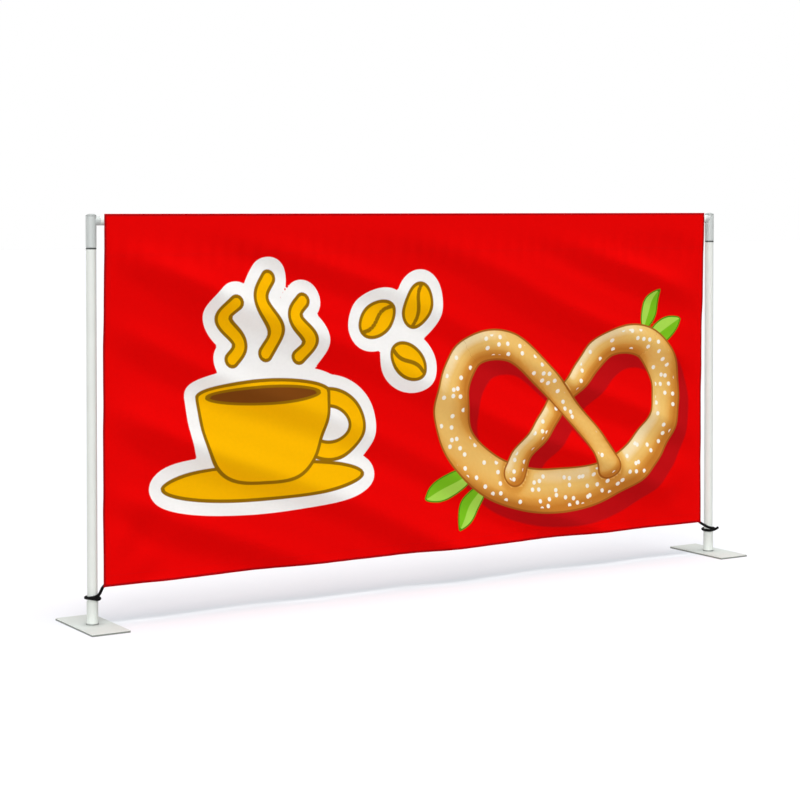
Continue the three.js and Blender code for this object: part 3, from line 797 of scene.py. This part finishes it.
def makeSideHem(name, sign, layers):
    # a side's second layer on the back, up to the crossbar and narrower beside the sleeve
    v = clothValues
    across = np.r_[0.1, 0.5, np.linspace(5, v["sideHem"] - v["rim"], 4), v["sideHem"]]
    hemX = sign * (bannerHalf - across)
    hemX = hemX[::-1] if sign > 0 else hemX
    up = np.arange(v["bottom"] + v["hem"] + v["rim"], v["sideHemTop"], v["spacing"])
    X, Z = np.meshgrid(hemX, up)
    flapEnd = v["seam"] - v["flap"]
    narrowing = 1 - (v["sleeveInset"] - v["thickness"]) / v["sideHem"]
    side = sign * bannerHalf
    narrowing = narrowing * smooth(flapEnd - v["narrowFrom"], flapEnd - v["narrowTo"], Z)
    X = side + (X - side) * (1 - narrowing)
    strip = np.stack([X, frontPlace(Z) + 2 * halfPair + foldOffset(X, Z), Z], -1)
    hem = clothShell(f"banner_side_hem_{name}", strip)
    if np.cross(strip[1, 0] - strip[0, 0], strip[0, 1] - strip[0, 0])[1] < 0:
        hem.data.flip_normals()
    setUv(hem, twice(X) * mm, twice(Z) * mm)
    setAttribute(hem, "printed", np.ones(X.size * 2))
    for layer in layers:
        setAttribute(hem, layer, np.full(X.size * 2, outside))
    return hem


def seamRows(sign):
    # the stitches of all seams, on the front (-1) or the back (1)
    v = clothValues
    pitch = stitchValues["pitch"]
    level = np.arange(-bannerHalf + 4, bannerHalf - 4, pitch)
    upright = np.arange(v["bottom"] + 4, v["seam"] - 2, pitch)
    heights = [v["seam"] - row for row in v["seamRows"]]
    heights += [v["bottom"] + v["hem"] - v["hemRow"], v["topStitch"]]
    runs = [(level, np.full(len(level), height), False) for height in heights]
    runs += [(np.full(len(upright), side * (bannerHalf - v["sideHem"] + v["hemRow"])), upright, True)
             for side in (-1, 1)]
    rows = []
    for x, z, rising in runs:
        step = 0.5
        slopeX = (foldOffset(x + step, z) - foldOffset(x - step, z)) / (2 * step)
        slopeZ = (foldOffset(x, z + step) - foldOffset(x, z - step)) / (2 * step)
        one, none = np.ones(len(x)), np.zeros(len(x))
        along = np.stack([none, slopeZ, one], -1) if rising else np.stack([one, slopeX, none], -1)
        outward = sign * np.stack([-slopeX, one, -slopeZ], -1)
        place = frontPlace(z) + halfPair + sign * (halfPair + v["thickness"] / 2)
        centre = np.stack([x, foldOffset(x, z) + place, z], -1)
        rows.append((centre * mm, along, outward))
    return rows


def makeBanner():
    v = clothValues
    line, inset, first, last = clothProfile()
    inner = bannerHalf - v["rim"]
    x = np.r_[bannerHalf, np.linspace(inner, -inner, int(2 * inner / v["spacing"]) + 1), -bannerHalf]
    X, Z = np.meshgrid(x, line[:, 1])
    X = X * (1 - inset[:, None] / bannerHalf)
    cloth = clothShell("banner_cloth", np.stack([X, line[:, :1] + foldOffset(X, Z), Z], -1))
    stripLength = np.r_[0, np.cumsum(np.linalg.norm(np.diff(line, axis=0), axis=1))]
    flat = stripLength - stripLength[first] + line[first, 1]
    setUv(cloth, twice(X) * mm, twice(np.broadcast_to(flat[:, None], X.shape)) * mm)
    setAttribute(cloth, "printed", np.repeat([1.0, 0.0], X.size))
    frontX, frontZ = X[first:last], Z[first:last]
    # distance to the nearest edge, for the painted shade along the edges
    toEdge = np.minimum(bannerHalf - np.abs(frontX), np.minimum(frontZ - v["bottom"], v["top"] - frontZ))
    layers = {**stickerShapes(frontX, frontZ), **pretzelShapes(frontX, frontZ),
              "rolled": v["edgeShadeWidth"] - toEdge}
    for name, depth in layers.items():
        values = np.full(X.shape, outside)
        values[first:last] = depth
        setAttribute(cloth, name, twice(values))
    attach(cloth, "frame")
    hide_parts("banner")
    print("banner cloth:", X.size * 4, "triangles")
    pieces = [makeSideHem(name, sign, layers) for name, sign in bothSides]
    pieces += [makeStitches(f"banner_stitches_{face}", seamRows(sign), bannerThread)
               for face, sign in (("front", -1), ("back", 1))]
    for piece in pieces:
        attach(piece, "frame")
    print("banner strip:", round(stripLength[-1]), "mm long,", len(layers), "printed shapes")


makeBanner()


# Corner tabs: 22 mm polyester webbing, woven with ribs across it. The eye sees fine dull ribs, a
# closed edge and two rows of stitches.

tabValues = {
    "gap": 15.0,  # mm, from the banner's corner to the tab's near end
    "length": 22.0,
    "thickness": 0.9,
    "bore": 3.9, "axis": 4.85,  # of the tunnel, and its middle's height off the cloth
    "archFrom": -38, "archTo": 218,  # degrees round the cord
    "wing": [(11.8, 0), (10.2, 0), (8.2, 0), (6.6, 0), (5.2, 0.25)],  # out from the axis, and up
    "stitchOff": 9.4,  # of each stitched row, from the cord's axis
    "lift": 0.05,  # of webbing off the cloth and of stitches off the webbing
    "base": 0.75,  # the cloth's back face
    "rib": 1.1, "yarnShare": 0.4,
    # ribHollowShade is painted shade in the hollows between the ribs
    "black": "#121213", "ribHollowShade": "#070708",
    "roughness": 0.75, "gloss": 0.2,
}


def makeWebbingMaterial(v):
    material, add = newMaterial("polyester_webbing_black")
    uv = add("UVMap", {"uv_map": "cloth"})
    yarns, ribs = waves(add, uv, v["rib"], "XY")
    woven = add("Math", {"operation": "MULTIPLY_ADD", 1: v["yarnShare"], 0: yarns, 2: ribs})
    most = 1 + v["yarnShare"]
    height = add("MapRange", {1: -most, 2: most, 3: 0.0, 4: 1.0, 0: woven})
    # the colour runs by height from the painted shade of the hollows to the ribs' black
    colour = add("Mix", {"data_type": "RGBA", 6: v["ribHollowShade"], 7: v["black"], 0: height})
    closeMaterial(add, (height, 0.8, 0.25),
                  {"Roughness": v["roughness"], "Specular IOR Level": v["gloss"],
                   "Base Color": colour.outputs[2]})
    return material


webbing = makeWebbingMaterial(tabValues)


def makeTab(side, sign):
    # The webbing seen along the cord is a line: wing, blend, an arch round the cord, blend, wing. A
    # flat section with round edges is carried along it.
    v = tabValues
    half = v["thickness"] / 2
    ring = v["bore"] + half
    arch = np.radians(np.linspace(v["archFrom"], v["archTo"], 33))
    hump = np.stack([ring * np.cos(arch), v["axis"] + ring * np.sin(arch)], -1)
    wing = np.array(v["wing"]) + (0, half + v["lift"])
    line = np.vstack([wing, hump, (wing * (-1, 1))[::-1]])
    line, along = evenly(np.insert(line, 1, 0, axis=1), half)
    line = line[:, [0, 2]]
    tangent = normalised(np.gradient(line, axis=0))
    normal = np.stack([-tangent[:, 1], tangent[:, 0]], -1)
    edge = np.radians(np.linspace(-90, 90, 5))[1:-1]
    reach = v["length"] / 2
    flatSide = np.stack([np.linspace(half - reach, reach - half, 12), np.full(12, -half)], -1)
    roundEdge = np.stack([reach - half + half * np.cos(edge), half * np.sin(edge)], -1)
    section = np.vstack([flatSide, roundEdge])
    section = np.vstack([section, -section])
    lengthwise = onSlope(cornerSlope) * (-sign, 1, 1)
    across = np.cross(behind, lengthwise)
    origin = np.array([sign * bannerHalf, v["base"], clothValues["bottom"]])
    origin = origin + lengthwise * (v["gap"] + reach)
    flat = line[:, None] + normal[:, None] * section[None, :, 1:]
    points = (origin + flat[..., :1] * across + flat[..., 1:] * behind
              + section[None, :, :1] * lengthwise)
    rows, columns = points.shape[:2]
    caps = np.array([np.arange(columns), np.arange(columns)[::-1] + (rows - 1) * columns])
    tab = makeMesh(f"corner_tab_{side}_webbing", points.reshape(-1, 3) * mm,
                   [gridFaces(rows, columns, closed=True)[:, ::-1], caps], webbing)
    setUv(tab, np.tile(section[:, 0], rows) * mm, np.repeat(along, columns) * mm)
    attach(tab, "frame")
    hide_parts(f"corner_tab_{side}")
    seams = []
    place = np.arange(-reach + 2.5, reach - 1.5, stitchValues["pitch"] * 0.9)[:, None]
    for off in (-v["stitchOff"], v["stitchOff"]):
        centre = origin + off * across + (v["thickness"] + v["lift"]) * behind + place * lengthwise
        count = (len(place), 1)
        seams.append((centre * mm, np.tile(lengthwise, count), np.tile(behind, count)))
    thread = makeStitches(f"corner_tab_{side}_stitches", seams, tabThread)
    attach(thread, "frame")


for side, sign in bothSides:
    makeTab(side, sign)
print("corner tabs made")


# Finishes of the solids that stay. Patterns read Object coordinates, which are the frame's own.

finishValues = {
    "coat": "#E7ECE7", "coatRoughness": 0.5, "coatGloss": 0.3,
    "orangePeel": 1.6,  # mm between the coat's soft bumps
    "cloud": 70,  # mm between its paler patches
    # weldToeShade: a darker grey at the weld's toe, painted shade in the crevice there
    "weldToeShade": "#7F8480", "weldRipple": 2.4,  # mm
    "weldTop": (7.0, 8.6), "plateTop": (4.9, 5.15),  # mm above the floor, where each begins and ends
    # plateSideShade: painted shade on the plate's sides, below edgeTop
    "plateSideShade": "#8E938D", "edgeTop": (4.4, 4.6),
    # of each moulded finish: its material, colour, roughness, and its grain's size and depth in mm
    "moulded": {
        "grey_nylon": ("moulded_nylon_grey", "#C8CECC", 0.46, 0.5, 0.05),
        # the caps' darker copy of the grey nylon is painted shade, which holds down their brightly lit
        # tops
        "cap": ("moulded_nylon_grey_cap_painted_shade", "#A0A5A3", 0.55, 0.5, 0.05),
        "dark_rubber": ("moulded_rubber_dark", "#4A4F4D", 0.7, 0.8, 0.08),
    },
    "handled": 25,  # mm between glossier patches
    "zinc": "#BFC2C4",
    "turning": 0.35,  # mm between the lathe's grooves
    "plating": 6,  # mm between the plating's patches
    "joinWithin": 0.01,  # mm
    "sharpest": 30,  # degrees
}


def makeCoatMaterial(v):
    # Powder-coated steel, sprayed and baked: an even pale grey with a satin gloss, faint orange
    #     peel, slightly uneven tone, and a rippled weld where the socket is welded down, darkened with
    #     painted shade at its toe. The plate's sides are darkened with painted shade too.
    material, add = newMaterial("powder_coated_steel_pale_grey")
    place = add("TexCoord").outputs["Object"]
    peel, = unevenness(add, place, v["orangePeel"], 1.5)
    rough = v["coatRoughness"]
    _, tone, gloss = unevenness(add, place, v["cloud"], 3.0, (0.2, 0.975, 1.02),
                                (0.2, rough - 0.04, rough + 0.06))
    height = add("SeparateXYZ", {0: place}).outputs["Z"]
    levels = ((v["weldTop"], 1.0), (v["plateTop"], 0.0), (v["edgeTop"], 1.0))
    weld, top, low = (add("MapRange", {1: begin * mm, 2: end * mm, 3: start, 4: 1 - start, 0: height})
                      for (begin, end), start in levels)
    # the weld's band, which takes its ripples and its painted shade
    seam = add("Math", {"operation": "MULTIPLY", 0: weld, 1: top})
    coat = add("Mix", {"data_type": "RGBA", 6: v["coat"], 7: v["weldToeShade"], 0: seam})
    # the plate's sides, below edgeTop, take painted shade
    sideShaded = add("Mix", {"data_type": "RGBA", 7: v["plateSideShade"], 0: low, 6: coat.outputs[2]})
    colour = add("HueSaturation", {"Color": sideShaded.outputs[2], "Value": tone})
    ripple = add("TexVoronoi", {"Scale": 1 / (v["weldRipple"] * mm), "Vector": place})
    beads = add("Math", {"operation": "MULTIPLY", 0: ripple.outputs["Distance"], 1: seam})
    relief = add("Math", {"operation": "MULTIPLY_ADD", 1: 0.12, 0: peel, 2: beads})
    closeMaterial(add, (relief, 0.6, 0.6),
                  {"Specular IOR Level": v["coatGloss"], "Base Color": colour, "Roughness": gloss})
    return material


def makeMouldedMaterial(name, colour, roughness, grain, depth):
    # moulded plastic or rubber: one colour with a fine spark-eroded grain from the mould, and
    # slightly glossier patches where it has been handled
    material, add = newMaterial(name)
    place = add("TexCoord").outputs["Object"]
    fine, tone = unevenness(add, place, grain, 2.0, (0.25, 0.96, 1.03))
    _, gloss = unevenness(add, place, finishValues["handled"], 2.0,
                          (0.15, roughness - 0.06, roughness + 0.05))
    shade = add("HueSaturation", {"Color": colour, "Value": tone})
    closeMaterial(add, (fine, 0.35, depth), {"Base Color": shade, "Roughness": gloss})
    return material


def makeZincMaterial(v):
    # Turned steel with bright zinc plating: fine rings from the lathe, drawn as coarse as they need
    # to show, and cloudy grey patches in the plating.
    material, add = newMaterial("turned_steel_zinc_plated")
    place = add("TexCoord").outputs["Object"]
    rings, = waves(add, place, v["turning"], "Z")
    _, gloss, tone = unevenness(add, place, v["plating"], 4.0, (0.2, 0.28, 0.42), (0.2, 0.9, 1.05))
    shade = add("HueSaturation", {"Color": v["zinc"], "Value": tone})
    closeMaterial(add, (rings, 0.2, 0.05), {"Metallic": 1.0, "Base Color": shade, "Roughness": gloss})
    return material


def finishSolids(v):
    # shaded smooth, but for the edges that turn by more degrees than the sharpest
    finishes = {"painted_steel": makeCoatMaterial(v), "zinc_steel": makeZincMaterial(v)}
    for slot, look in v["moulded"].items():
        finishes[slot] = makeMouldedMaterial(*look)
    for subpart in frame["record"]["subparts"]:
        # the caps take the darker copy of the nylon, as painted shade
        isCap = subpart["node"].startswith("connector_cap")
        finish = finishes.get("cap" if isCap else subpart["material_slot"])
        if not finish:
            continue
        solid = nodes[subpart["node"]]
        for slot in solid.material_slots:
            slot.material = finish
        mesh = solid.data
        if "custom_normal" in mesh.attributes:
            mesh.attributes.remove(mesh.attributes["custom_normal"])
        mesh.polygons.foreach_set("use_smooth", np.ones(len(mesh.polygons), bool))
        solid.modifiers.new("joined", "WELD").merge_threshold = v["joinWithin"] * mm
        solid.modifiers.new("edges", "EDGE_SPLIT").split_angle = math.radians(v["sharpest"])


finishSolids(finishValues)
print("solids finished")


# The stage: a wide pale floor that keeps the shadow, a white world, and lamps at a plain level.

stageValues = {
    "floorHalf": 40.0,  # m
    "floor": "#CEC7C6",
    "bounce": "#8A8483",  # for the light that the floor throws back, so that folds keep their shade
    # for the camera, so that the unshaded floor is white and the shadow keeps a cool tone
    "floorGlow": 0.275, "glowColour": (0.79, 1.04, 1.2, 1.0),
    "world": 0.24,
    # of each lamp: strength, degrees from straight above, turn and size in degrees
    "lamps": {
        "key": (2.95, 6.0, 0.0, 35.0),
        "fill": (2.45, 82.0, -31.0, 40.0),
        # from behind, on the side that keeps its glare out of the photo's view
        "back": (0.7, 82.0, 211.0, 40.0),
    },
}


def seenShare(add):
    # 1 for what the camera sees, also in a reflection or through a piece, and 0 for thrown light
    ray = add("LightPath").outputs
    seen = add("Math", {"operation": "ADD", 0: ray["Is Camera Ray"], 1: ray["Is Glossy Ray"]})
    return add("Math", {"operation": "ADD", "use_clamp": True, 0: seen, 1: ray["Is Transmission Ray"]})


def makeFloor(v):
    half = v["floorHalf"]
    material, add = newMaterial("pale_paper_floor")
    thrown = add("LightPath").outputs["Is Diffuse Ray"]
    tint = add("Mix", {"data_type": "RGBA", 6: v["floor"], 7: v["bounce"], 0: thrown})
    paper = add("BsdfDiffuse", {"Color": tint.outputs[2]})
    glow = add("Math", {"operation": "MULTIPLY", 1: v["floorGlow"], 0: seenShare(add)})
    light = add("Emission", {"Color": v["glowColour"], "Strength": glow})
    both = add("AddShader", {0: paper, 1: light})
    add("OutputMaterial", {"Surface": both})
    points = [(-half, -half, 0), (half, -half, 0), (half, half, 0), (-half, half, 0)]
    floor = makeMesh("floor", points, [np.array([[0, 1, 2, 3]])], material, smoothShaded=False)


def makeLight(v):
    world = bpy.data.worlds.new("white_studio")
    world.use_nodes = True
    bpy.context.scene.world = world
    world.node_tree.nodes.clear()
    add = partial(addNode, world.node_tree)
    strength = add("MapRange", {1: 0.0, 2: 1.0, 3: v["world"], 4: 1.0, 0: seenShare(add)})
    sky = add("Background", {"Color": (1, 1, 1, 1), "Strength": strength})
    add("OutputWorld", {"Surface": sky})
    for name, (energy, tilt, turn, size) in v["lamps"].items():
        lamp = bpy.data.lights.new(name, "SUN")
        lamp.energy = energy
        lamp.angle = math.radians(size)
        holder = bpy.data.objects.new(name, lamp)
        holder.rotation_euler = (math.radians(tilt), 0, math.radians(turn))
        bpy.context.scene.collection.objects.link(holder)


makeFloor(stageValues)
makeLight(stageValues)
bpy.context.scene.view_settings.view_transform = "Standard"
print("stage set")
